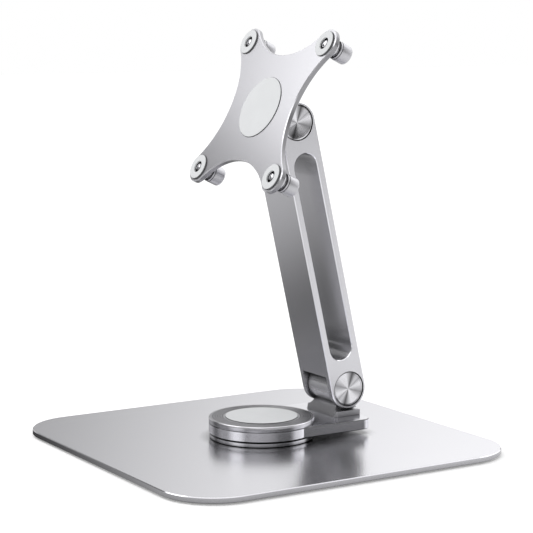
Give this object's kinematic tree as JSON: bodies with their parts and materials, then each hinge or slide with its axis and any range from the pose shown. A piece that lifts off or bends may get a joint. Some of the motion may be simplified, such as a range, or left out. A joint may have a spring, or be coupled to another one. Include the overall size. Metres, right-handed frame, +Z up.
{
  "type": "tablet stand",
  "caption": "Folding aluminium tablet stand with a square base, swivelling foot, slotted two-hinge arm and X-shaped screw-on head plate.",
  "frame": {"origin": "on the swivel axis, at the surface that the foot pads rest on: the middle of the bottom of the bounding box", "axes": "+Z up, +X along the hinge pins to the right of the tablet as its user sees it, -Y towards the user and the tablet's screen"},
  "size_m": [0.202, 0.202, 0.2244],
  "materials": {
    "brushed_aluminium": "fine satin, silver anodised, with polished chamfers",
    "turned_aluminium": "concentric turning marks with a radial sheen",
    "matte_aluminium": "bead-blasted matte silver",
    "chrome": "bright nickel plate",
    "steel": "zinc-plated steel",
    "silicone": "smooth pale grey silicone",
    "rubber": "matte dark grey rubber",
    "nylon": "black nylon"
  },
  "bodies": {
    "base": {"base_plate": "brushed_aluminium", "foot_pad_1": "rubber", "foot_pad_2": "rubber", "foot_pad_3": "rubber", "foot_pad_4": "rubber", "swivel_hub": "brushed_aluminium", "hub_screws": "steel", "lower_swivel_washer": "nylon", "upper_swivel_washer": "nylon", "pressure_plate": "steel", "disc_spring": "steel", "pivot_screw": "steel"},
    "swivel": {"swivel_plate": "brushed_aluminium", "swivel_cap": "turned_aluminium", "swivel_pad": "silicone", "foot_knuckle": "brushed_aluminium", "foot_screws": "steel"},
    "arm": {"arm_bar": "brushed_aluminium", "lower_pin": "steel", "lower_washer_left": "nylon", "lower_washer_right": "nylon", "lower_cap_left": "turned_aluminium", "lower_cap_right": "turned_aluminium", "upper_pin": "steel", "upper_washer_left": "nylon", "upper_washer_right": "nylon", "upper_cap_left": "turned_aluminium", "upper_cap_right": "turned_aluminium"},
    "head": {"head_knuckle": "brushed_aluminium", "head_screws": "steel", "head_plate": "brushed_aluminium", "head_pad": "silicone", "ring_pad_1": "silicone", "ring_pad_2": "silicone", "ring_pad_3": "silicone", "ring_pad_4": "silicone", "ferrule_1": "chrome", "ferrule_2": "chrome", "ferrule_3": "chrome", "ferrule_4": "chrome", "screw_spring_1": "steel", "screw_spring_2": "steel", "screw_spring_3": "steel", "screw_spring_4": "steel"},
    "screw_carrier_1": {"spring_washer_1": "steel"},
    "screw_1": {"tablet_screw_1": "chrome", "screw_knob_1": "matte_aluminium"},
    "screw_carrier_2": {"spring_washer_2": "steel"},
    "screw_2": {"tablet_screw_2": "chrome", "screw_knob_2": "matte_aluminium"},
    "screw_carrier_3": {"spring_washer_3": "steel"},
    "screw_3": {"tablet_screw_3": "chrome", "screw_knob_3": "matte_aluminium"},
    "screw_carrier_4": {"spring_washer_4": "steel"},
    "screw_4": {"tablet_screw_4": "chrome", "screw_knob_4": "matte_aluminium"}
  },
  "joints": [
    {"name": "swivel_turn", "type": "hinge", "parent": "base", "child": "swivel", "pos_m": [0, 0, 0.0097], "axis": [0, 0, 1], "continuous": true},
    {"name": "arm_fold", "type": "hinge", "parent": "swivel", "child": "arm", "pos_m": [0, 0.0473, 0.0277], "axis": [1, 0, 0], "range_deg": [-58, 65]},
    {"name": "head_tilt", "type": "hinge", "parent": "arm", "child": "head", "pos_m": [0, 0.01324, 0.17522], "axis": [1, 0, 0], "range_deg": [-140, 38]},
    {"name": "screw_push_1", "type": "slide", "parent": "head", "child": "screw_carrier_1", "axis": [0, -0.9011, 0.4337], "range_m": [0, 0.003], "stiffness_N_per_m": 400, "springref_m": -0.002, "deforming": ["screw_spring_1"]},
    {"name": "screw_turn_1", "type": "hinge", "parent": "screw_carrier_1", "child": "screw_1", "pos_m": [-0.0375, 0.0146, 0.2174], "axis": [0, -0.9011, 0.4337], "continuous": true},
    {"name": "screw_push_2", "type": "slide", "parent": "head", "child": "screw_carrier_2", "axis": [0, -0.9011, 0.4337], "range_m": [0, 0.003], "stiffness_N_per_m": 400, "springref_m": -0.002, "deforming": ["screw_spring_2"]},
    {"name": "screw_turn_2", "type": "hinge", "parent": "screw_carrier_2", "child": "screw_2", "pos_m": [0.0375, 0.0146, 0.2174], "axis": [0, -0.9011, 0.4337], "continuous": true},
    {"name": "screw_push_3", "type": "slide", "parent": "head", "child": "screw_carrier_3", "axis": [0, -0.9011, 0.4337], "range_m": [0, 0.003], "stiffness_N_per_m": 400, "springref_m": -0.002, "deforming": ["screw_spring_3"]},
    {"name": "screw_turn_3", "type": "hinge", "parent": "screw_carrier_3", "child": "screw_3", "pos_m": [0.0375, -0.01792, 0.14982], "axis": [0, -0.9011, 0.4337], "continuous": true},
    {"name": "screw_push_4", "type": "slide", "parent": "head", "child": "screw_carrier_4", "axis": [0, -0.9011, 0.4337], "range_m": [0, 0.003], "stiffness_N_per_m": 400, "springref_m": -0.002, "deforming": ["screw_spring_4"]},
    {"name": "screw_turn_4", "type": "hinge", "parent": "screw_carrier_4", "child": "screw_4", "pos_m": [-0.0375, -0.01792, 0.14982], "axis": [0, -0.9011, 0.4337], "continuous": true}
  ]
}
